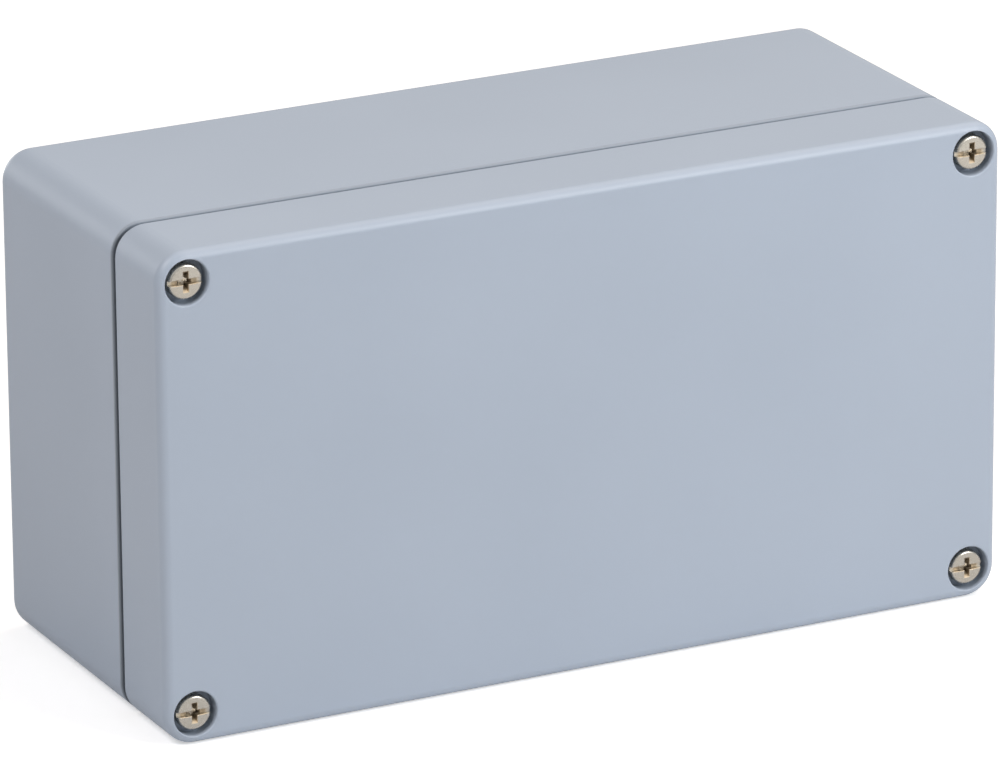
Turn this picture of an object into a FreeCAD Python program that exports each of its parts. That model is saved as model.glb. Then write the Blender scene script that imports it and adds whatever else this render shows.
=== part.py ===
"""Die cast aluminium box, 220 x 120 x 90 mm, with a screwed and gasketed lid.

Millimetres. X runs along the long side, Y into the box from the lid, Z up.
The box stands on its long narrow side, lid towards -Y, and the origin is in
the middle of the face that it stands on.
"""

import FreeCAD, Part
import math
import os

Vector = FreeCAD.Vector

# Outside of the closed box
box_length = 220.0
box_height = 120.0
box_depth = 90.0
lid_depth = 25.0
corner_radius = 7.5
lid_edge_radius = 2.3
back_edge_radius = 3.0
rim_edge_radius = 0.5

# Walls of the two castings
wall = 4.0
base_floor = 4.0
lid_face = 3.5
draft_degrees = 0.75
cavity_radius = 7.0
floor_radius = 2.5

# Corner pillars, outside the seal
pillar_width = 17.5
pillar_height = 29.0
pillar_radius = 4.0

# Tongue on the base, and the groove with its gasket in the lid
tongue_width = 1.6
tongue_height = 2.0
tongue_edge = 0.3
groove_width = 3.2
groove_depth = 4.0
inner_land = 1.6
gasket_side_gap = 0.1
gasket_face_gap = 0.1
gasket_edge = 0.5

# Shadow line along the joint of the two castings
shadow_gap = 1.5
shadow_width = 0.9

# Lid screws, M5 with a cheese head, held in the lid by a washer on the neck
screw_inset = 7.5
screw_radius = 2.5
screw_pitch = 0.8
screw_length = 30.0
thread_length = 13.0
neck_radius = 2.2
head_radius = 4.25
head_height = 3.3
head_edge = 0.7
head_sunk = 0.7
recess_radius = 5.5
recess_mouth_radius = 0.4
web_thickness = 3.5
web_hole_radius = 2.75
unscrewing_turns = 12
thread_clearance = 0.05
thread_runout = 3.0
mouth_chamfer = 0.4
thread_tip = 0.6

# Slot and cross recess of the screw heads
slot_width = 1.2
slot_depth = 1.1
cross_span = 4.9
cross_width = 1.3
cross_depth = 2.1
cross_foot_span = 2.2
cross_foot_width = 0.9

# Retaining washers under the lid
retainer_radius = 4.3
retainer_thickness = 1.5
retainer_clearance = 0.05
retainer_stop_gap = 0.3
retainer_pocket_radius = 5.0

# Wall mounting holes, reached through a channel in each pillar: 204 x 82 mm apart
mounting_inset_x = 8.0
mounting_inset_z = 19.0
mounting_hole_radius = 3.25
mounting_web = 5.0
channel_radius = 5.5
lid_core_radius = 4.5
lid_core_cover = 5.0

# Bosses on the floor for a mounting plate or rail, tapped M4: 168 x 84 mm apart
plate_inset_x = 26.0
plate_inset_z = 18.0
plate_boss_radius = 4.0
plate_boss_height = 6.0
plate_thread_radius = 1.65
plate_thread_depth = 8.0
boss_root_radius = 1.0

# Earth terminal: M6 screw, spring washer and clamp washer on a boss, half way up
earth_inset = 20.0
earth_boss_radius = 7.0
earth_boss_height = 8.0
earth_screw_radius = 3.0
earth_screw_length = 12.0
earth_hole_depth = 10.5
earth_head_radius = 5.0
earth_head_height = 3.9
earth_washer_radius = 6.0
earth_washer_thickness = 1.6
earth_washer_bore = 3.2
spring_washer_radius = 5.9
spring_washer_thickness = 1.6
spring_washer_bore = 3.1
spring_washer_slit = 1.0

# Levels along Y and Z that follow from the sizes above
front_y = -box_depth / 2
back_y = box_depth / 2
seam_y = front_y + lid_depth
floor_y = back_y - base_floor
ceiling_y = front_y + lid_face
head_seat_y = front_y + head_sunk + head_height
web_y = head_seat_y + web_thickness
middle_z = box_height / 2

# Places of the screws, wall mounting holes, plate bosses and earth terminal
screw_x = box_length / 2 - screw_inset
screw_z = box_height / 2 - screw_inset
mounting_x = box_length / 2 - mounting_inset_x
mounting_z = box_height / 2 - mounting_inset_z
plate_x = box_length / 2 - plate_inset_x
plate_z = box_height / 2 - plate_inset_z
earth_x = earth_inset - box_length / 2
earth_z = 0.0

# Corners seen from the front, clockwise from the upper left
corners = ((-1, 1), (1, 1), (1, -1), (-1, -1))

# Overshoot of a cutting tool past the face that it opens
past = 1.0


def rounded_outline(points, radii, y):
    """Closed wire at depth y through the points (x, z), each rounded to its radius."""
    spans = []
    for i, (x, z) in enumerate(points):
        corner = Vector(x, y, middle_z + z)
        before_x, before_z = points[i - 1]
        after_x, after_z = points[(i + 1) % len(points)]
        to_before = (Vector(before_x, y, middle_z + before_z) - corner).normalize()
        to_after = (Vector(after_x, y, middle_z + after_z) - corner).normalize()
        half_angle = to_before.getAngle(to_after) / 2
        reach = radii[i] / math.tan(half_angle)
        inward = (to_before + to_after).normalize()
        crown = radii[i] / math.sin(half_angle) - radii[i]
        spans.append((corner + to_before * reach, corner + inward * crown, corner + to_after * reach))
    edges = []
    for i, (start, middle, end) in enumerate(spans):
        following = spans[(i + 1) % len(spans)][0]
        edges.append(Part.Arc(start, middle, end).toShape())
        edges.append(Part.LineSegment(end, following).toShape())
    return Part.Wire(edges)


def box_outline(inset, y):
    """Outer outline of the box at depth y, moved inward by inset."""
    half_x = box_length / 2 - inset
    half_z = box_height / 2 - inset
    points = [(half_x * sx, half_z * sz) for sx, sz in corners]
    return rounded_outline(points, [corner_radius - inset] * 4, y)


def seal_outline(inset, y):
    """Outline of the base's cavity at depth y, moved inward by inset.

    It steps in round the four corner pillars, so the pillars and all their
    holes stay outside the sealed room. Tongue, groove and gasket follow it.
    """
    half_x = box_length / 2 - wall - inset
    half_z = box_height / 2 - wall - inset
    step_x = box_length / 2 - pillar_width - inset
    step_z = box_height / 2 - pillar_height - inset
    outer = cavity_radius - inset
    inner = pillar_radius + inset
    points = []
    radii = []
    for sx, sz in corners:
        steps = [
            ((half_x * sx, step_z * sz), outer),
            ((step_x * sx, step_z * sz), inner),
            ((step_x * sx, half_z * sz), outer),
        ]
        if sx * sz > 0:
            steps.reverse()
        points += [point for point, radius in steps]
        radii += [radius for point, radius in steps]
    return rounded_outline(points, radii, y)


def slab(outline, thickness):
    """Solid from a closed outline, thickness along +Y."""
    return Part.Face(outline).extrude(Vector(0, thickness, 0))


def seal_ring(inner_inset, outer_inset, y, thickness):
    """Band that follows the seal line between two insets."""
    outer = slab(seal_outline(outer_inset, y), thickness)
    return outer.cut(slab(seal_outline(inner_inset, y), thickness))


def tapered_room(inset, mouth_y, end_y):
    """Hollow of a casting with draft on its walls and a rounded inner edge."""
    taper = math.tan(math.radians(draft_degrees)) * abs(end_y - mouth_y)
    room = Part.makeLoft([seal_outline(inset, mouth_y), seal_outline(inset + taper, end_y)], True, True)
    return room.makeFillet(floor_radius, edges_at(room, end_y))


def edges_at(shape, y):
    """Edges of the shape that lie wholly at depth y."""
    near = 1e-4
    return [e for e in shape.Edges if abs(e.BoundBox.YMin - y) < near and abs(e.BoundBox.YMax - y) < near]


def round_bar(x, z, radius, start_y, end_y):
    """Cylinder along Y between two depths."""
    return Part.makeCylinder(radius, end_y - start_y, Vector(x, start_y, middle_z + z), Vector(0, 1, 0))


def cone_bar(x, z, start_radius, end_radius, start_y, end_y):
    """Cone along Y between two depths."""
    start = Vector(x, start_y, middle_z + z)
    return Part.makeCone(start_radius, end_radius, end_y - start_y, start, Vector(0, 1, 0))


def turned(outline, x, z):
    """Solid turned about Y from a closed list of edges in the XY plane, then moved to (x, z)."""
    solid = Part.Face(Part.Wire(outline)).revolve(Vector(0, 0, 0), Vector(0, 1, 0), 360)
    solid.translate(Vector(x, 0, middle_z + z))
    return solid


def chain(points):
    """Straight edges from each point to the next."""
    return [Part.LineSegment(start, end).toShape() for start, end in zip(points, points[1:])]


def cast_boss(x, z, radius, height):
    """Boss standing on the base's floor, with a rounded root."""
    top_y = floor_y - height
    root = boss_root_radius
    sink_y = floor_y + root
    bend_step = root * (1 - math.sqrt(0.5))
    bend = Vector(radius + bend_step, floor_y - bend_step, 0)
    side_end = Vector(radius, floor_y - root, 0)
    root_end = Vector(radius + root, floor_y, 0)
    points = [
        root_end,
        Vector(radius + root, sink_y, 0),
        Vector(0, sink_y, 0),
        Vector(0, top_y, 0),
        Vector(radius, top_y, 0),
        side_end,
    ]
    return turned(chain(points) + [Part.Arc(side_end, bend, root_end).toShape()], x, z)


def screw_recess(x, z):
    """Round recess for a screw head, its mouth rounded over."""
    mouth = recess_mouth_radius
    bend_step = mouth * (1 - math.sqrt(0.5))
    wall_end = Vector(recess_radius, front_y + mouth, 0)
    bend = Vector(recess_radius + bend_step, front_y + bend_step, 0)
    face_end = Vector(recess_radius + mouth, front_y, 0)
    points = [
        face_end,
        Vector(recess_radius + mouth, front_y - past, 0),
        Vector(0, front_y - past, 0),
        Vector(0, head_seat_y, 0),
        Vector(recess_radius, head_seat_y, 0),
        wall_end,
    ]
    return turned(chain(points) + [Part.Arc(wall_end, bend, face_end).toShape()], x, z)


def tapped_hole(x, z, radius, mouth_y, depth):
    """Blind hole from mouth_y with a chamfered mouth."""
    hole = round_bar(x, z, radius, mouth_y - past, mouth_y + depth)
    chamfer = cone_bar(x, z, radius + mouth_chamfer, radius, mouth_y, mouth_y + mouth_chamfer)
    return hole.fuse(chamfer)


def base_casting():
    """Deep half: walls, floor, four pillars, tongue and floor bosses."""
    outside = slab(box_outline(0, seam_y), back_y - seam_y)
    outside = outside.makeFillet(back_edge_radius, edges_at(outside, back_y))
    outside = outside.makeFillet(rim_edge_radius, edges_at(outside, seam_y))
    casting = outside.cut(tapered_room(0, seam_y, floor_y))

    tongue = seal_ring(0, -tongue_width, seam_y - tongue_height, tongue_height)
    tongue = tongue.makeChamfer(tongue_edge, edges_at(tongue, seam_y - tongue_height))
    casting = casting.fuse(tongue)

    bosses = []
    plate_places = [(plate_x * sx, plate_z * sz) for sx, sz in corners]
    for x, z in plate_places:
        bosses.append(cast_boss(x, z, plate_boss_radius, plate_boss_height))
    bosses.append(cast_boss(earth_x, earth_z, earth_boss_radius, earth_boss_height))
    casting = casting.fuse(bosses)

    holes = []
    thread_depth = head_seat_y + screw_length - seam_y + thread_runout
    channel_end_y = back_y - mounting_web
    thread_hole = screw_radius + thread_clearance
    for sx, sz in corners:
        holes.append(tapped_hole(screw_x * sx, screw_z * sz, thread_hole, seam_y, thread_depth))
        x = mounting_x * sx
        z = mounting_z * sz
        holes.append(round_bar(x, z, channel_radius, seam_y - past, channel_end_y))
        holes.append(round_bar(x, z, mounting_hole_radius, channel_end_y - past, back_y + past))
    boss_top_y = floor_y - plate_boss_height
    thread_end_y = boss_top_y + plate_thread_depth
    for x, z in plate_places:
        holes.append(round_bar(x, z, plate_thread_radius, boss_top_y - past, thread_end_y))
    earth_hole = earth_screw_radius + thread_clearance
    holes.append(tapped_hole(earth_x, earth_z, earth_hole, floor_y - earth_boss_height, earth_hole_depth))
    return casting.cut(holes).removeSplitter()


def lid_casting():
    """Shallow half: face, rim with the gasket groove, screw recesses and pockets."""
    rim_y = seam_y - shadow_gap
    outside = slab(box_outline(0, front_y), lid_depth - shadow_gap)
    outside = outside.makeFillet(lid_edge_radius, edges_at(outside, front_y))
    outside = outside.makeFillet(rim_edge_radius, edges_at(outside, rim_y))
    outside = outside.fuse(slab(box_outline(shadow_width, rim_y), shadow_gap))
    groove_side = (groove_width - tongue_width) / 2
    room = tapered_room(groove_side + inner_land, seam_y, ceiling_y)
    groove = seal_ring(groove_side, groove_side - groove_width, seam_y - groove_depth, groove_depth)

    holes = []
    for sx, sz in corners:
        x = screw_x * sx
        z = screw_z * sz
        holes.append(screw_recess(x, z))
        holes.append(round_bar(x, z, web_hole_radius, head_seat_y - past, web_y + past))
        holes.append(round_bar(x, z, retainer_pocket_radius, web_y, seam_y + past))
        x = mounting_x * sx
        z = mounting_z * sz
        holes.append(round_bar(x, z, lid_core_radius, front_y + lid_core_cover, seam_y + past))
    return outside.cut([room, groove] + holes).removeSplitter()


def lid_gasket():
    """Rubber ring that lies on the groove's floor and faces the tongue."""
    groove_side = (groove_width - tongue_width) / 2
    thickness = groove_depth - tongue_height - gasket_face_gap
    inner = groove_side - gasket_side_gap
    outer = groove_side - groove_width + gasket_side_gap
    floor_of_groove_y = seam_y - groove_depth
    ring = seal_ring(inner, outer, floor_of_groove_y, thickness)
    return ring.makeChamfer(gasket_edge, edges_at(ring, floor_of_groove_y + thickness))


def drive_recess(x, z, top_y, head):
    """Slot right across a screw head with a tapered cross recess in its middle."""
    slot = Part.makeBox(2 * head + 2 * past, slot_depth + past, slot_width,
                        Vector(x - head - past, top_y - past, middle_z + z - slot_width / 2))
    levels = (
        (top_y - past, cross_span, cross_width),
        (top_y, cross_span, cross_width),
        (top_y + cross_depth, cross_foot_span, cross_foot_width),
    )
    tools = [slot]
    for upright in (False, True):
        sections = []
        for y, span, width in levels:
            half_x = (width if upright else span) / 2
            half_z = (span if upright else width) / 2
            points = [Vector(x + half_x * sx, y, middle_z + z + half_z * sz) for sx, sz in corners]
            sections.append(Part.makePolygon(points + points[:1]))
        tools.append(Part.makeLoft(sections, True, True))
    return tools[0].fuse(tools[1:])


def turned_screw(x, z, top_y, head, edge, height, stem):
    """Screw turned about Y: a head, then the stem's (radius, y) points down to its tip."""
    seat_y = top_y + height
    bend_step = edge * (1 - math.sqrt(0.5))
    arc_middle = Vector(head - bend_step, top_y + bend_step, 0)
    crown_start = Vector(head - edge, top_y, 0)
    crown_end = Vector(head, top_y + edge, 0)
    points = [crown_end, Vector(head, seat_y, 0)]
    points += [Vector(radius, y, 0) for radius, y in stem]
    points += [Vector(0, stem[-1][1], 0), Vector(0, top_y, 0), crown_start]
    crown = Part.Arc(crown_start, arc_middle, crown_end).toShape()
    return turned([crown] + chain(points), x, z).cut(drive_recess(x, z, top_y, head))


def lid_screw(sx, sz):
    """Captive M5 screw: cheese head, waisted neck and a threaded end."""
    tip_y = head_seat_y + screw_length
    thread_y = tip_y - thread_length
    stem = [
        (neck_radius, head_seat_y),
        (neck_radius, thread_y),
        (screw_radius, thread_y + screw_radius - neck_radius),
        (screw_radius, tip_y - thread_tip),
        (screw_radius - thread_tip, tip_y),
    ]
    top_y = front_y + head_sunk
    return turned_screw(screw_x * sx, screw_z * sz, top_y, head_radius, head_edge, head_height, stem)


def washer(x, z, radius, bore, start_y, thickness):
    """Plain ring about Y."""
    ring = round_bar(x, z, radius, start_y, start_y + thickness)
    return ring.cut(round_bar(x, z, bore, start_y - past, start_y + thickness + past))


def retaining_washer(sx, sz):
    """Plastic ring on the screw's neck. It meets the lid's web when the screw is out."""
    start_y = web_y + unscrewing_turns * screw_pitch + retainer_stop_gap
    return washer(screw_x * sx, screw_z * sz, retainer_radius, neck_radius + retainer_clearance,
                  start_y, retainer_thickness)


def earth_terminal():
    """Screw, spring washer and clamp washer stacked on the earth boss."""
    boss_top_y = floor_y - earth_boss_height
    clamp_y = boss_top_y - earth_washer_thickness
    spring_y = clamp_y - spring_washer_thickness
    clamp = washer(earth_x, earth_z, earth_washer_radius, earth_washer_bore, clamp_y, earth_washer_thickness)
    spring = washer(earth_x, earth_z, spring_washer_radius, spring_washer_bore, spring_y,
                    spring_washer_thickness)
    slit_corner = Vector(earth_x, spring_y - past, middle_z + earth_z - spring_washer_slit / 2)
    slit = Part.makeBox(spring_washer_radius + past, spring_washer_thickness + 2 * past, spring_washer_slit,
                        slit_corner)
    tip_y = spring_y + earth_screw_length
    stem = [
        (earth_screw_radius, spring_y),
        (earth_screw_radius, tip_y - thread_tip),
        (earth_screw_radius - thread_tip, tip_y),
    ]
    screw = turned_screw(earth_x, earth_z, spring_y - earth_head_height, earth_head_radius, head_edge,
                         earth_head_height, stem)
    return {"earth_screw": screw, "earth_spring_washer": spring.cut(slit), "earth_clamp_washer": clamp}


def main():
    """Build every piece and write one file for each."""
    pieces = {
        "base_casting": base_casting(),
        "lid_casting": lid_casting(),
        "lid_gasket": lid_gasket(),
    }
    for number, (sx, sz) in enumerate(corners, 1):
        pieces["lid_screw_%d" % number] = lid_screw(sx, sz)
        pieces["retaining_washer_%d" % number] = retaining_washer(sx, sz)
    pieces.update(earth_terminal())

    os.makedirs("parts", exist_ok=True)
    for name, shape in pieces.items():
        shape.exportStep("parts/" + name + ".step")
        print(name, shape.isValid(), len(shape.Solids), "solid", round(shape.Volume / 1000, 2), "cm3")


main()
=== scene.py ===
# %% [markdown]
# A closed die cast aluminium box stands on its long narrow side, with its lid to the front. The
# CAD model already has the true shape of both castings, the gasket, the washers and the screws'
# outline. This lesson dresses that model: it sets up the photographer's view, gives each metal,
# coat and rubber its finish, and turns finer screws than the CAD model has, with threads and a
# deburred recess in their heads.

# %% Load the fixed model and note its size
import bpy
import math
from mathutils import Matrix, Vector


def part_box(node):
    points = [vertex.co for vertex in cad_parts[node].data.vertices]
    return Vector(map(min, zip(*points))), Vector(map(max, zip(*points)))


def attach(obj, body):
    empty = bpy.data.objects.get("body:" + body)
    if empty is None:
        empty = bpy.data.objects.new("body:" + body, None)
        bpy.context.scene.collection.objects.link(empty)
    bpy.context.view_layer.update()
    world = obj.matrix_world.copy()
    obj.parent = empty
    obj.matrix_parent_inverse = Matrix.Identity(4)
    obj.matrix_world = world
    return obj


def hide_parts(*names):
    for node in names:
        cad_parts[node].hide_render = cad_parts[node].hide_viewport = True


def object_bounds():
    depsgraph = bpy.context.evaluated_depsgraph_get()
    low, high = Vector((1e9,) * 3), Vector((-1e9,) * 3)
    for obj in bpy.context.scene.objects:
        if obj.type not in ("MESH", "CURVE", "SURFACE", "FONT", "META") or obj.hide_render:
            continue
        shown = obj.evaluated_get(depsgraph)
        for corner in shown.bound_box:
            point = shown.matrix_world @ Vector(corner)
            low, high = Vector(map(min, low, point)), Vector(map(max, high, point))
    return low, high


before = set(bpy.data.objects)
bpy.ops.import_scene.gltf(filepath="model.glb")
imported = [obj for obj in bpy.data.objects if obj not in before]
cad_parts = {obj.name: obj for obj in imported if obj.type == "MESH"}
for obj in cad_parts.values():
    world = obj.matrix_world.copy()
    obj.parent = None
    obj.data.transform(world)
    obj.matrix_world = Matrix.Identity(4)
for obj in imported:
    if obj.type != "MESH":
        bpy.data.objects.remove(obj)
cad_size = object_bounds()
lowest, highest = cad_size
print("box measures", [round(1000 * (b - a), 2) for a, b in zip(lowest, highest)], "mm")

# %% [markdown]
# The photo was taken with a long lens from well back, so that the edges of the box stay almost
# parallel. A camera can be placed by eye, or worked out from where the corners of the box fall
# in the picture. Here the angle, the distance and the lens come from the corners and the four
# screws. The camera looks at the middle of the box, a hair below it, and is rolled by less than
# half a degree. The photo's own upright edges were kept parallel by its maker, which makes its box
# look a twentieth taller than a plain camera can.

# %% Stand the camera where the photographer stood
view_azimuth = math.radians(-26.578)
view_elevation = math.radians(19.359)
view_roll = math.radians(-0.418)
view_distance = 2.0
view_lens_mm = 302.0
aim_right = -0.00083
aim_down = 0.002741


def add_camera():
    """Camera aimed at the middle of the box from its azimuth and elevation."""
    backward = Vector((
        math.sin(view_azimuth) * math.cos(view_elevation),
        -math.cos(view_azimuth) * math.cos(view_elevation),
        math.sin(view_elevation),
    ))
    turn = backward.to_track_quat("Z", "Y").to_matrix()
    right, up = turn.col[0], turn.col[1]
    target = (lowest + highest) / 2 + right * aim_right - up * aim_down
    camera = bpy.data.objects.new("camera", bpy.data.cameras.new("camera"))
    bpy.context.scene.collection.objects.link(camera)
    camera.location = target + backward * view_distance
    camera.rotation_euler = turn.to_euler()
    camera.rotation_euler.rotate_axis("Z", view_roll)
    camera.data.lens = view_lens_mm
    camera.data.clip_start = 0.05
    camera.data.clip_end = 50
    return camera


bpy.context.scene.camera = add_camera()
bpy.context.scene.view_settings.view_transform = "Standard"
print("camera stands", [round(v, 3) for v in bpy.context.scene.camera.location], "m from the origin")

# %% [markdown]
# A product photo on white has a sheet of paper under the object and large soft lamps round it.
# The paper is a plain plane here. It shows white to the camera, and the shadow that the box
# drops on it stays, because only a part of its brightness is its own. The sky round the scene
# gives little light of its own, so that seams and recesses stay dark as in the photo, but it is
# pale where a shiny metal mirrors it. The lamps were weighed by lighting the box with one at a
# time and adding up shares of the pictures until their shades met the photo's. A wide lamp
# overhead makes the bright line along the lid's upper edge. One to the right and one high on the
# left give the faces their gentle slopes from light to dark, and the left one carries the bright
# line round the lid's corner. The one overhead is a little warm and the one on the left a hair,
# as the photo's faces ask. A weak lamp low behind the box keeps its back from going dark in views
# from there.

# %% Lay the paper and light the room
paper_side = 24.0
paper_gap = 0.0002
paper_grey = 0.86
paper_roughness = 0.9
paper_glow = 0.48
sky_light = 0.16
sky_shine = 0.82
plain_light = (1.0, 1.0, 1.0)
mild_light = (1.05, 1.0, 0.98)
warm_light = (1.14, 1.0, 0.87)


def new_material(name):
    """New material, its node tree and its shader."""
    material = bpy.data.materials.new(name)
    material.use_nodes = True
    tree = material.node_tree
    return material, tree, tree.nodes["Principled BSDF"]


def add_paper():
    """Large plane just under the box that keeps the box's shadow."""
    half = paper_side / 2
    corners = [(-half, -half, 0), (half, -half, 0), (half, half, 0), (-half, half, 0)]
    mesh = bpy.data.meshes.new("paper")
    mesh.from_pydata(corners, [], [(0, 1, 2, 3)])
    paper = bpy.data.objects.new("paper", mesh)
    bpy.context.scene.collection.objects.link(paper)
    paper.location.z = lowest.z - paper_gap
    material, tree, shader = new_material("paper")
    shader.inputs["Base Color"].default_value = (paper_grey, paper_grey, paper_grey, 1)
    shader.inputs["Roughness"].default_value = paper_roughness
    shader.inputs["Specular IOR Level"].default_value = 0.0
    shader.inputs["Emission Color"].default_value = (1, 1, 1, 1)
    path = tree.nodes.new("ShaderNodeLightPath")
    glow = tree.nodes.new("ShaderNodeMath")
    glow.operation = "MULTIPLY"
    glow.inputs[1].default_value = paper_glow
    tree.links.new(path.outputs["Is Camera Ray"], glow.inputs[0])
    tree.links.new(glow.outputs[0], shader.inputs["Emission Strength"])
    mesh.materials.append(material)
    return paper


def add_sky():
    """Even light from all round, white to the camera and to shiny metal."""
    world = bpy.data.worlds.new("studio")
    world.use_nodes = True
    tree = world.node_tree
    background = tree.nodes["Background"]
    background.inputs["Color"].default_value = (1, 1, 1, 1)
    path = tree.nodes.new("ShaderNodeLightPath")
    shiny = tree.nodes.new("ShaderNodeMath")
    shiny.operation = "MAXIMUM"
    tree.links.new(path.outputs["Is Glossy Ray"], shiny.inputs[0])
    tree.links.new(path.outputs["Is Transmission Ray"], shiny.inputs[1])
    strength = tree.nodes.new("ShaderNodeMapRange")
    strength.inputs["To Min"].default_value = sky_light
    strength.inputs["To Max"].default_value = sky_shine
    tree.links.new(shiny.outputs[0], strength.inputs["Value"])
    shown = tree.nodes.new("ShaderNodeMath")
    shown.operation = "MAXIMUM"
    tree.links.new(strength.outputs["Result"], shown.inputs[0])
    tree.links.new(path.outputs["Is Camera Ray"], shown.inputs[1])
    tree.links.new(shown.outputs[0], background.inputs["Strength"])
    bpy.context.scene.world = world


def add_lamp(name, place, size, power, tint):
    """Square soft lamp that faces the middle of the box."""
    lamp = bpy.data.objects.new(name, bpy.data.lights.new(name, "AREA"))
    bpy.context.scene.collection.objects.link(lamp)
    lamp.data.shape = "SQUARE"
    lamp.data.size = size
    lamp.data.energy = power
    lamp.data.color = tint
    lamp.visible_camera = False
    lamp.location = place
    middle = (lowest + highest) / 2
    lamp.rotation_euler = (lamp.location - middle).to_track_quat("Z", "Y").to_euler()
    return lamp


add_paper()
add_sky()
lamps = [
    add_lamp("lamp_front_right", (0.45, -0.75, 0.50), 0.4, 5.1, plain_light),
    add_lamp("lamp_high_left", (-0.72, -0.25, 0.86), 0.4, 4.95, mild_light),
    add_lamp("lamp_over", (0.45, -0.05, 1.00), 1.0, 4.8, warm_light),
    add_lamp("lamp_behind", (-0.30, 1.10, 0.12), 0.5, 2.6, plain_light),
]
print(len(lamps), "soft lamps and an even sky")

# %% [markdown]
# The finishes that follow are all mixed from the same few steps: a colour as picked on a screen, a
# noise, a bump, a range, a sum. Each finish could spell its steps out, but the same dozen lines
# would come back in every one. So each step is written once here, and a finish then reads like a
# short recipe. All of them work from an object's own coordinates in metres, so that a grain keeps
# its true size and nothing slides over a piece when it moves.

# %% Write the steps that every finish shares
def linear(colour):
    """Colour as picked on a screen, 0 to 255, turned into the light values that a shader takes."""
    def one(value):
        # The numbers are those of the sRGB curve, which screens follow.
        share = value / 255
        return share / 12.92 if share <= 0.04045 else ((share + 0.055) / 1.055) ** 2.4
    return tuple(one(value) for value in colour) + (1.0,)


def add_noise(tree, coordinates, feature_size, detail):
    """Noise whose blobs are about feature_size across, in metres."""
    noise = tree.nodes.new("ShaderNodeTexNoise")
    noise.inputs["Scale"].default_value = 1 / feature_size
    noise.inputs["Detail"].default_value = detail
    tree.links.new(coordinates, noise.inputs["Vector"])
    return noise.outputs["Fac"]


def add_bump(tree, heights):
    """Chain of bumps, each a (height socket, depth in metres); gives the last normal."""
    normal = None
    for height, depth in heights:
        bump = tree.nodes.new("ShaderNodeBump")
        bump.inputs["Distance"].default_value = depth
        tree.links.new(height, bump.inputs["Height"])
        if normal is not None:
            tree.links.new(normal, bump.inputs["Normal"])
        normal = bump.outputs["Normal"]
    return normal


def add_range(tree, value, low, high):
    """Value from 0 to 1 spread over low to high."""
    spread = tree.nodes.new("ShaderNodeMapRange")
    spread.inputs["To Min"].default_value = low
    spread.inputs["To Max"].default_value = high
    tree.links.new(value, spread.inputs["Value"])
    return spread.outputs["Result"]


def ramp(tree, value, start, end):
    """0 before start and 1 past end, straight between; start may be the larger."""
    node = tree.nodes.new("ShaderNodeMapRange")
    node.inputs["From Min"].default_value = start
    node.inputs["From Max"].default_value = end
    tree.links.new(value, node.inputs["Value"])
    return node.outputs["Result"]


def combine(tree, operation, first, second):
    """Result of a math node whose two inputs are sockets or numbers."""
    node = tree.nodes.new("ShaderNodeMath")
    node.operation = operation
    for socket, value in zip(node.inputs, (first, second)):
        if isinstance(value, (int, float)):
            socket.default_value = value
        else:
            tree.links.new(value, socket)
    return node.outputs[0]


def add_mix(tree, share, first, second):
    """Colour that goes from first to second with share; each is a socket or a fixed colour."""
    mix = tree.nodes.new("ShaderNodeMix")
    mix.data_type = "RGBA"
    tree.links.new(share, mix.inputs["Factor"])
    for socket, value in ((mix.inputs["A"], first), (mix.inputs["B"], second)):
        if isinstance(value, tuple):
            socket.default_value = value
        else:
            tree.links.new(value, socket)
    return mix.outputs["Result"]


mixing_steps = (linear, add_noise, add_bump, add_range, ramp, combine, add_mix)
print(len(mixing_steps), "steps ready for mixing")

# %% [markdown]
# A real casting isn't coated evenly. The tapped holes are cut after the coat is on, and the top of
# the earth boss is milled bare, because a lead has to touch metal there, so bare casting shows at
# those places when the lid is off. Painted shade darkens the coat in the narrow gap of the joint and
# down beside the screw heads, so both read as dark lines. Along the top of the box the painted shade
# in the gap is weaker, as light falls into it from above, and the line is fainter there. The places
# could be painted on by hand or given as separate faces. Here they are told by their distance from
# an axis or from the joint, so that they stay sharp at any size.

# %% Find the bare places of the castings and those of painted shade
hair = 0.0001
seam_place = -0.020
# The joint's gap gets painted shade, weaker along the top of the box, where light falls in.
gap_width = 0.0015
gap_depth = 0.00095
gap_edge = 0.0011
gap_shade_share = 0.85
top_gap_shade_share = 0.40
corner_radius = 0.0075

lid_hole = (0.1025, 0.0525)
lid_thread_radius = 0.0030
plate_hole = (0.084, 0.042)
plate_thread_radius = 0.0018
earth_hole = (-0.090, 0.0)
earth_top_radius = 0.0069
earth_top_place = 0.03305
earth_thread_radius = 0.0032
back_margin = 0.0005
recess_radius = 0.0058
recess_depth = 0.0075
# The recess walls round the lid screws get a light painted shade that deepens below the mouth.
recess_shade_start = 0.0003
recess_shade_full = 0.0017
recess_shade_share = 0.12


def split(tree, place):
    """The three coordinates of a place, by the names X, Y and Z."""
    node = tree.nodes.new("ShaderNodeSeparateXYZ")
    tree.links.new(place, node.inputs[0])
    return node.outputs


def length_seen_along_y(tree, place, steps):
    """Distance from the Y axis after the steps, each an (operation, amount) done to the place."""
    for operation, amount in steps + [("MULTIPLY", (1, 0, 1)), ("LENGTH", None)]:
        node = tree.nodes.new("ShaderNodeVectorMath")
        node.operation = operation
        tree.links.new(place, node.inputs[0])
        if amount is not None:
            node.inputs[1].default_value = amount
        place = node.outputs[0]
    return node.outputs["Value"]


def near_axis(tree, place, hole, radius, mirrored=True):
    """1 within radius of an axis along Y, z counted from the middle; mirrored adds its images."""
    steps = [("SUBTRACT", (0, 0, (lowest.z + highest.z) / 2))]
    if mirrored:
        steps.append(("ABSOLUTE", None))
    steps.append(("SUBTRACT", (hole[0], 0, hole[1])))
    return combine(tree, "LESS_THAN", length_seen_along_y(tree, place, steps), radius)


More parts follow.
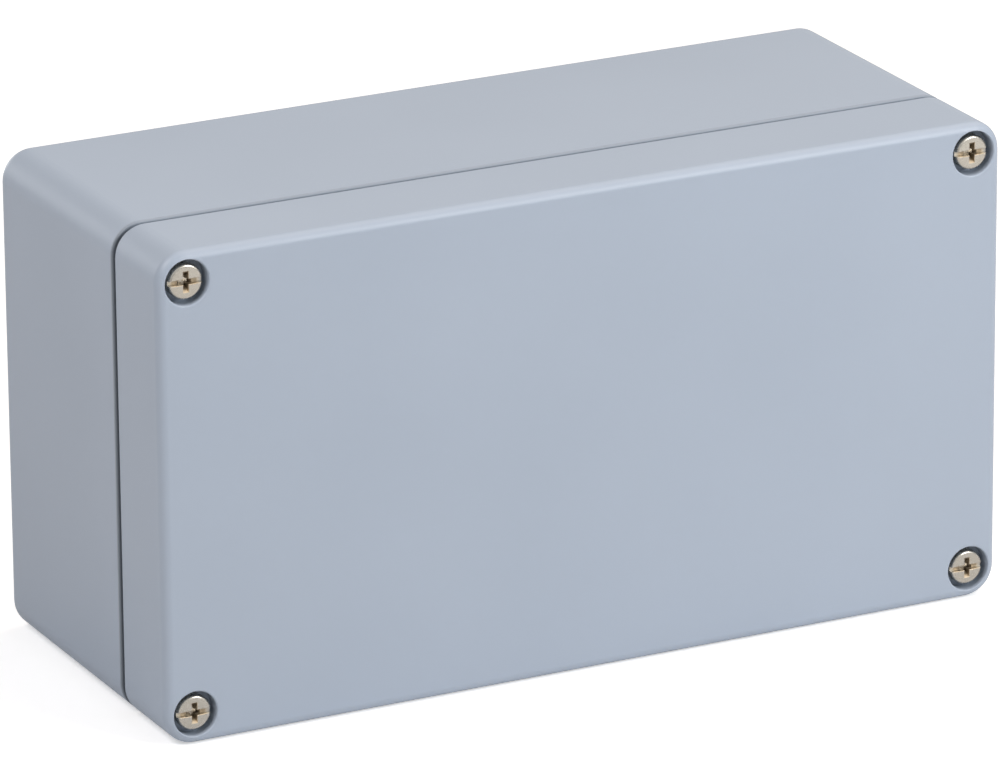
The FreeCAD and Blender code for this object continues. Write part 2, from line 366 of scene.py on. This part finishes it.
def bare_places(tree, place):
    """1 where the base has no coat: its tapped holes and the top of the earth boss."""
    along = split(tree, place)["Y"]
    lid_threads = near_axis(tree, place, lid_hole, lid_thread_radius)
    plate_threads = near_axis(tree, place, plate_hole, plate_thread_radius)
    earth_top = near_axis(tree, place, earth_hole, earth_top_radius, False)
    on_top = combine(tree, "LESS_THAN", along, earth_top_place)
    earth_thread = near_axis(tree, place, earth_hole, earth_thread_radius, False)
    bare = combine(tree, "MAXIMUM", lid_threads, plate_threads)
    bare = combine(tree, "MAXIMUM", bare, combine(tree, "MULTIPLY", earth_top, on_top))
    bare = combine(tree, "MAXIMUM", bare, earth_thread)
    in_base = combine(tree, "GREATER_THAN", along, seam_place - hair)
    before_back = combine(tree, "LESS_THAN", along, highest.y - back_margin)
    return combine(tree, "MULTIPLY", bare, combine(tree, "MULTIPLY", in_base, before_back))


def near_outside(tree, place, deepest):
    """1 within deepest of the outside of the box, seen along Y, round the corners too."""
    middle = (lowest + highest) / 2
    flat = (highest - lowest) / 2 - Vector((corner_radius, 0, corner_radius))
    steps = [("SUBTRACT", middle), ("ABSOLUTE", None), ("SUBTRACT", flat), ("MAXIMUM", (0, 0, 0))]
    out = length_seen_along_y(tree, place, steps)
    return combine(tree, "GREATER_THAN", out, corner_radius - deepest)


def painted_shade_places(tree, place):
    """Share of painted shade: the gap of the joint, weaker along the top, and the recess walls round
    the screws.
    """
    parts = split(tree, place)
    along, height = parts["Y"], parts["Z"]
    shaded_gap = combine(tree, "GREATER_THAN", along, seam_place - gap_width - hair / 2)
    shaded_gap = combine(tree, "MULTIPLY", shaded_gap, ramp(tree, along, seam_place + gap_edge, seam_place))
    shaded_gap = combine(tree, "MULTIPLY", shaded_gap, near_outside(tree, place, gap_depth))
    # The painted shade in the gap fades along the top, where light falls in.
    lit_top = ramp(tree, height, highest.z - corner_radius / 2, highest.z)
    shaded_gap = combine(tree, "MULTIPLY", shaded_gap, add_range(tree, lit_top, gap_shade_share, top_gap_shade_share))
    shaded_recess = near_axis(tree, place, lid_hole, recess_radius)
    above_foot = combine(tree, "LESS_THAN", along, lowest.y + recess_depth)
    under_mouth = ramp(tree, along, lowest.y + recess_shade_start, lowest.y + recess_shade_full)
    shaded_recess = combine(tree, "MULTIPLY", shaded_recess, combine(tree, "MULTIPLY", above_foot, under_mouth))
    shaded_recess = combine(tree, "MULTIPLY", shaded_recess, recess_shade_share)
    return combine(tree, "MAXIMUM", shaded_gap, shaded_recess)


print("bare at", lid_hole, plate_hole, "and", earth_hole, "m")

# %% [markdown]
# Nearly all of what shows is silver grey powder coat: a dry paint that is melted on in an oven.
# Close up it isn't flat. It has a soft ripple about two millimetres across, called orange peel,
# and a finer grain. Both could be modelled, but they are hundredths of a millimetre deep, so
# bump from two noises gives them at their true size. The coat's colour darkens with painted shade
# in the joint's gap and on the recess walls, and at the bare places its shader turns to metal.

# %% Mix the powder coat
coat_colour = (165, 177, 193)
coat_drift = 3
drift_size = 0.05
coat_roughness = 0.42
roughness_swing = 0.05
peel_size = 0.0024
peel_depth = 0.000010
grain_size = 0.0004
grain_depth = 0.000004
bare_colour = (188, 189, 188)
bare_roughness = 0.34
# Colour of the painted shade in the joint's gap and on the recess walls.
painted_shade_colour = (80, 87, 94)


def powder_coat():
    """Silver grey coat with orange peel and a fine grain."""
    material, tree, shader = new_material("powder_coat")
    place = tree.nodes.new("ShaderNodeTexCoord").outputs["Object"]
    peel = add_noise(tree, place, peel_size, 1.0)
    grain = add_noise(tree, place, grain_size, 2.0)
    drift = add_noise(tree, place, drift_size, 1.0)
    pale = linear(tuple(value + coat_drift for value in coat_colour))
    deep = linear(tuple(value - coat_drift for value in coat_colour))
    bare = bare_places(tree, place)
    colour = add_mix(tree, drift, deep, pale)
    # Painted shade darkens the coat in the joint's gap and on the recess walls.
    colour = add_mix(tree, painted_shade_places(tree, place), colour, linear(painted_shade_colour))
    colour = add_mix(tree, bare, colour, linear(bare_colour))
    tree.links.new(colour, shader.inputs["Base Color"])
    tree.links.new(bare, shader.inputs["Metallic"])
    rough = add_range(tree, grain, coat_roughness - roughness_swing, coat_roughness + roughness_swing)
    smoother = combine(tree, "MULTIPLY", bare, coat_roughness - bare_roughness)
    tree.links.new(combine(tree, "SUBTRACT", rough, smoother), shader.inputs["Roughness"])
    tree.links.new(add_bump(tree, [(peel, peel_depth), (grain, grain_depth)]), shader.inputs["Normal"])
    return material


coat = powder_coat()
for name in ("base_casting", "lid_casting"):
    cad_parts[name].material_slots[0].material = coat
print("coat", coat_colour, "on both castings")

# %% [markdown]
# The small parts in the box are three plain stuffs. The washers under the earth screw are bright
# stainless steel, turned, with fine rings left by the tool. The washer that keeps each lid screw
# from falling out is natural nylon, a milky plastic. The ring in the lid's groove is black
# rubber with a dull skin. Their shapes are right as they come, so each only gets its finish. The
# same steel serves the screws, and the recess that takes the driver gets a worn one: brown and dull,
# with painted shade that darkens it the deeper it lies, and rubbed bright at the two ends of the slot.

# %% Finish the washers and the rubber ring, and mix the steels
steel_colour = (184, 180, 171)
steel_roughness = (0.18, 0.36)
smear_size = 0.0011
worn_colour = (190, 177, 156)
worn_roughness = (0.34, 0.56)
worn_smear_size = 0.0007
# Colour of the painted shade at the bottom of the screw recess, and the depth where it is full.
deep_shade_colour = (110, 98, 82)
shade_full_depth = 0.0017
shade_start_offset = 0.7
slot_dirt_radius = 0.0030
slot_bright_radius = 0.0038
rings_in_two_pi = 20
ring_pitch = 0.00012
ring_depth = 0.0000012
ring_waver = 0.6
nylon_colour = (226, 221, 205)
nylon_roughness = (0.40, 0.52)
nylon_glow_share = 0.15
nylon_glow_depth = (0.0012, 0.0010, 0.0007)
rubber_colour = (38, 38, 40)
rubber_roughness = (0.62, 0.80)
skin_size = 0.0006
skin_depth = 0.000006


def turned_steel():
    """Bright steel with the fine rings of a turning tool round the Y axis."""
    material, tree, shader = new_material("turned_steel")
    place = tree.nodes.new("ShaderNodeTexCoord").outputs["Object"]
    rings = tree.nodes.new("ShaderNodeTexWave")
    rings.wave_type = "RINGS"
    rings.rings_direction = "Y"
    # At scale 1 the node draws rings_in_two_pi rings on a length of two pi.
    rings.inputs["Scale"].default_value = 2 * math.pi / (rings_in_two_pi * ring_pitch)
    rings.inputs["Distortion"].default_value = ring_waver
    tree.links.new(place, rings.inputs["Vector"])
    smear = add_noise(tree, place, smear_size, 3.0)
    shader.inputs["Base Color"].default_value = linear(steel_colour)
    shader.inputs["Metallic"].default_value = 1.0
    tree.links.new(add_range(tree, smear, *steel_roughness), shader.inputs["Roughness"])
    tree.links.new(add_bump(tree, [(rings.outputs["Fac"], ring_depth)]), shader.inputs["Normal"])
    return material


def worn_recess():
    """Steel of a driver recess: brown, with painted shade deeper down, rubbed bright at the slot's
    ends.
    """
    material, tree, shader = new_material("worn_recess")
    place = tree.nodes.new("ShaderNodeTexCoord").outputs["Object"]
    # Painted shade: the recess darkens the deeper it lies.
    depth = combine(tree, "DIVIDE", split(tree, place)["Y"], shade_full_depth)
    smear = add_noise(tree, place, worn_smear_size, 3.0)
    radius = length_seen_along_y(tree, place, [])
    rubbed = ramp(tree, radius, slot_dirt_radius, slot_bright_radius)
    share = combine(tree, "ADD", depth, combine(tree, "SUBTRACT", smear, shade_start_offset))
    share = combine(tree, "SUBTRACT", share, rubbed)
    share = combine(tree, "MINIMUM", combine(tree, "MAXIMUM", share, 0.0), 1.0)
    colour = add_mix(tree, share, linear(worn_colour), linear(deep_shade_colour))
    colour = add_mix(tree, rubbed, colour, linear(steel_colour))
    tree.links.new(colour, shader.inputs["Base Color"])
    shader.inputs["Metallic"].default_value = 1.0
    tree.links.new(add_range(tree, smear, *worn_roughness), shader.inputs["Roughness"])
    return material


def natural_nylon():
    """Milky plastic with a soft skin."""
    material, tree, shader = new_material("natural_nylon")
    place = tree.nodes.new("ShaderNodeTexCoord").outputs["Object"]
    skin = add_noise(tree, place, skin_size, 1.0)
    shader.inputs["Base Color"].default_value = linear(nylon_colour)
    shader.inputs["Subsurface Weight"].default_value = nylon_glow_share
    shader.inputs["Subsurface Radius"].default_value = nylon_glow_depth
    tree.links.new(add_range(tree, skin, *nylon_roughness), shader.inputs["Roughness"])
    tree.links.new(add_bump(tree, [(skin, skin_depth)]), shader.inputs["Normal"])
    return material


def black_rubber():
    """Dull black rubber with a fine pitted skin."""
    material, tree, shader = new_material("black_rubber")
    place = tree.nodes.new("ShaderNodeTexCoord").outputs["Object"]
    skin = add_noise(tree, place, skin_size, 2.0)
    shader.inputs["Base Color"].default_value = linear(rubber_colour)
    tree.links.new(add_range(tree, skin, *rubber_roughness), shader.inputs["Roughness"])
    tree.links.new(add_bump(tree, [(skin, 2 * skin_depth)]), shader.inputs["Normal"])
    return material


steel = turned_steel()
worn = worn_recess()
finishes = {"retaining_washer": natural_nylon(), "lid_gasket": black_rubber(), "earth_": steel}
for name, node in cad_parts.items():
    for start, finish in finishes.items():
        if name.startswith(start):
            node.material_slots[0].material = finish
            print(name, "gets", finish.name)

# %% [markdown]
# The lid is held by four M5 screws whose heads fill the picture's only shiny spots, so they are
# worth making well. A real one is turned from bar: the head, the waisted neck that lets it hang
# in the lid, and the thread at the end are all one round form. The usual ways to draw it are a
# spun profile, or a spun profile with a separate spiral laid over it. Here one grid of rings does
# both: each ring's radius may change with the angle, and where the thread is it follows a
# sawtooth that climbs one pitch each turn, so the screw stays one closed skin.

# %% Spin a threaded screw
columns = 64
rows_a_pitch = 10
thread_depth_share = 0.61
crest_share = 0.125
root_share = 0.25


def thread_radius(outer, pitch, along, turn):
    """Radius of a vee thread at a place along the screw and an angle, as a share of a turn."""
    phase = (along / pitch - turn) % 1.0
    off_crest = abs(2 * phase - 1)
    slope = (off_crest - crest_share) / (1 - crest_share - root_share)
    return outer - thread_depth_share * pitch * min(max(slope, 0.0), 1.0)


def head_profile(size):
    """Points (radius, place along Y) from the middle of the head's top to the neck."""
    steps = 6
    points = []
    for step in range(steps + 1):
        angle = math.pi / 2 * step / steps
        radius = size["head_radius"] - size["edge"] * (1 - math.sin(angle))
        points.append((radius, size["edge"] * (1 - math.cos(angle))))
    burr = size["edge"] / 6
    under = size["head_height"]
    points.append((size["head_radius"], under - burr))
    points.append((size["head_radius"] - burr, under))
    points.append((size["neck_radius"] + burr, under))
    points.append((size["neck_radius"], under + burr))
    return points


def screw_rings(size):
    """Rings of the whole screw, each a place along Y and a radius for every column."""
    rings = [(along, [radius] * columns) for radius, along in head_profile(size)]
    start, end = size["thread_start"], size["length"]
    rows = round((end - start) / size["pitch"] * rows_a_pitch)
    for row in range(rows + 1):
        along = start + (end - start) * row / rows
        fade_in = min((along - start) / size["pitch"], 1.0)
        tip = size["thread_radius"] - max(along - (end - size["tip"]), 0.0)
        ring = []
        for column in range(columns):
            radius = thread_radius(size["thread_radius"], size["pitch"], along, column / columns)
            radius = size["neck_radius"] + (radius - size["neck_radius"]) * fade_in
            ring.append(min(radius, tip))
        rings.append((along, ring))
    return rings


def skin_over(name, rings):
    """Closed mesh over the rings, with a fan at each end."""
    points = [(0.0, rings[0][0], 0.0)]
    for along, ring in rings:
        for column, radius in enumerate(ring):
            angle = 2 * math.pi * column / columns
            points.append((radius * math.sin(angle), along, radius * math.cos(angle)))
    points.append((0.0, rings[-1][0], 0.0))
    faces = []
    last = len(points) - 1
    for column in range(columns):
        beside = (column + 1) % columns
        faces.append((0, 1 + beside, 1 + column))
        for row in range(len(rings) - 1):
            here = 1 + row * columns
            below = here + columns
            faces.append((here + column, here + beside, below + beside, below + column))
        end = 1 + (len(rings) - 1) * columns
        faces.append((end + column, end + beside, last))
    mesh = bpy.data.meshes.new(name)
    mesh.from_pydata(points, [], faces)
    return mesh


node_low, node_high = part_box("lid_screw_1")
lid_screw_size = {
    "head_radius": (node_high.x - node_low.x) / 2,
    "head_height": 0.0033,
    "edge": 0.0007,
    "neck_radius": 0.0022,
    "thread_radius": 0.0025,
    "thread_start": 0.0203,
    "length": node_high.y - node_low.y,
    "pitch": 0.0008,
    "tip": 0.0006,
}
plain_screw = skin_over("plain_lid_screw", screw_rings(lid_screw_size))
print("lid screw head", round(2000 * lid_screw_size["head_radius"], 2), "mm across,",
      len(plain_screw.polygons), "faces")

# %% [markdown]
# The head takes two drivers: a slot is milled right across it, and a tapered cross is punched
# into its middle. Both have their rims broken by a light chamfer, which is what catches the
# light in the photo. Moving points by hand would leave steps where the round edge meets the
# slot, so the recess is cut with solid tools instead, and each tool flares at its mouth to leave
# the chamfer behind.

# %% Cut the slot and the cross
mouth_flare = 0.00012
tool_past = 0.002
skin_margin = 0.00006
flat_margin = 0.00001


def loft_tool(name, sections):
    """Closed tool through rectangles (place along Y, half width X, half width Z)."""
    signs = ((-1, -1), (1, -1), (1, 1), (-1, 1))
    points = [(x * a, along, z * b) for along, x, z in sections for a, b in signs]
    faces = [(0, 1, 2, 3)]
    for level in range(len(sections) - 1):
        for side in range(4):
            here, beside = level * 4 + side, level * 4 + (side + 1) % 4
            faces.append((beside, here, here + 4, beside + 4))
    top = len(points) - 4
    faces.append((top + 3, top + 2, top + 1, top))
    mesh = bpy.data.meshes.new(name)
    mesh.from_pydata(points, [], faces)
    tool = bpy.data.objects.new(name, mesh)
    bpy.context.scene.collection.objects.link(tool)
    return tool


def recess_tools(size):
    """Slot tool and the two arms of the cross, all flared at the mouth."""
    half_slot, depth = size["slot_width"] / 2, size["slot_depth"]
    reach = size["head_radius"] + tool_past
    flare = mouth_flare
    tools = [loft_tool("slot_tool", [
        (-tool_past, reach, half_slot + flare + tool_past),
        (0.0, reach, half_slot + flare),
        (flare, reach, half_slot),
        (depth - flare, reach, half_slot),
        (depth, reach, half_slot - flare),
    ])]
    half_span, half_arm = size["cross_span"] / 2, size["cross_width"] / 2
    foot_span, foot_arm = size["foot_span"] / 2, size["foot_width"] / 2
    levels = [
        (-tool_past, half_span + flare + tool_past, half_arm + flare + tool_past),
        (0.0, half_span + flare, half_arm + flare),
        (flare, half_span, half_arm),
        (size["cross_depth"], foot_span, foot_arm),
    ]
    tools.append(loft_tool("cross_arm_flat", levels))
    tools.append(loft_tool("cross_arm_upright", [(along, z, x) for along, x, z in levels]))
    return tools


def cut_recess(mesh, tools):
    """Mesh with every tool taken out of it, and the tools thrown away."""
    blank = bpy.data.objects.new(mesh.name, mesh)
    bpy.context.scene.collection.objects.link(blank)
    for tool in tools:
        cut = blank.modifiers.new(tool.name, "BOOLEAN")
        cut.operation = "DIFFERENCE"
        cut.solver = "EXACT"
        cut.object = tool
    depsgraph = bpy.context.evaluated_depsgraph_get()
    result = bpy.data.meshes.new_from_object(blank.evaluated_get(depsgraph))
    for used in [blank] + tools:
        bpy.data.objects.remove(used)
    return result


lid_screw_size.update({
    "slot_width": 0.0012,
    "slot_depth": 0.0011,
    "cross_span": 0.0049,
    "cross_width": 0.0013,
    "cross_depth": 0.0021,
    "foot_span": 0.0022,
    "foot_width": 0.0009,
})


def mark_recess(mesh, size):
    """Gives the walls of the recess the second finish; the cross's flat foot stays bright."""
    edge, outer = size["edge"], size["head_radius"]
    for face in mesh.polygons:
        radius, along = math.hypot(face.center.x, face.center.z), face.center.y
        lift = max(edge - along, 0.0)
        skin = outer - edge + math.sqrt(max(edge * edge - lift * lift, 0.0))
        on_wall = flat_margin < along < size["cross_depth"] - flat_margin
        face.material_index = 1 if on_wall and radius < skin - skin_margin else 0


lid_screw_mesh = cut_recess(plain_screw, recess_tools(lid_screw_size))
lid_screw_mesh.name = "lid_screw"
mark_recess(lid_screw_mesh, lid_screw_size)
print("recess cut,", len(lid_screw_mesh.polygons), "faces, of them",
      sum(face.material_index for face in lid_screw_mesh.polygons), "in the recess")

# %% [markdown]
# The four screws are the same part, so they share one mesh. In the photo all four slots lie
# level, which is how a careful hand leaves them. Each goes where the CAD model has its plain
# screw, replaces it, and moves with it when it is undone. The earth screw inside is the same
# kind one size up, so the same steps make it.

# %% Set the screws in their places
lid_screws = 4
smooth_angle = math.radians(28)


def shade_round(mesh):
    """Smooth shading that keeps every edge sharper than smooth_angle crisp."""
    mesh.polygons.foreach_set("use_smooth", [True] * len(mesh.polygons))
    mesh.set_sharp_from_angle(angle=smooth_angle)
    mesh.update()


def place_screw(name, mesh, node, body):
    """Screw at a node's place, standing for it and moving with its body."""
    low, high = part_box(node)
    screw = bpy.data.objects.new(name, mesh)
    bpy.context.scene.collection.objects.link(screw)
    screw.location = ((low.x + high.x) / 2, low.y, (low.z + high.z) / 2)
    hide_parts(node)
    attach(screw, body)
    return screw


def finish_screw(mesh):
    """Round shading and the two finishes: bright steel, and the worn recess."""
    shade_round(mesh)
    marks = [face.material_index for face in mesh.polygons]
    mesh.materials.clear()
    mesh.materials.append(steel)
    mesh.materials.append(worn)
    mesh.polygons.foreach_set("material_index", marks)


finish_screw(lid_screw_mesh)
for number in range(1, lid_screws + 1):
    place_screw(f"threaded_lid_screw_{number}", lid_screw_mesh, f"lid_screw_{number}",
                f"screw_{number}")

node_low, node_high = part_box("earth_screw")
earth_screw_size = dict(lid_screw_size)
earth_screw_size.update({
    "head_radius": (node_high.x - node_low.x) / 2,
    "head_height": 0.0039,
    "neck_radius": 0.0026,
    "thread_radius": 0.0030,
    "thread_start": 0.0042,
    "length": node_high.y - node_low.y,
    "pitch": 0.0010,
})
earth_screw_mesh = cut_recess(skin_over("plain_earth_screw", screw_rings(earth_screw_size)),
                              recess_tools(earth_screw_size))
earth_screw_mesh.name = "earth_screw"
mark_recess(earth_screw_mesh, earth_screw_size)
finish_screw(earth_screw_mesh)
place_screw("threaded_earth_screw", earth_screw_mesh, "earth_screw", "earth_screw_body")
screw_faces = lid_screws * len(lid_screw_mesh.polygons) + len(earth_screw_mesh.polygons)
print(lid_screws + 1, "screws set,", screw_faces, "faces")
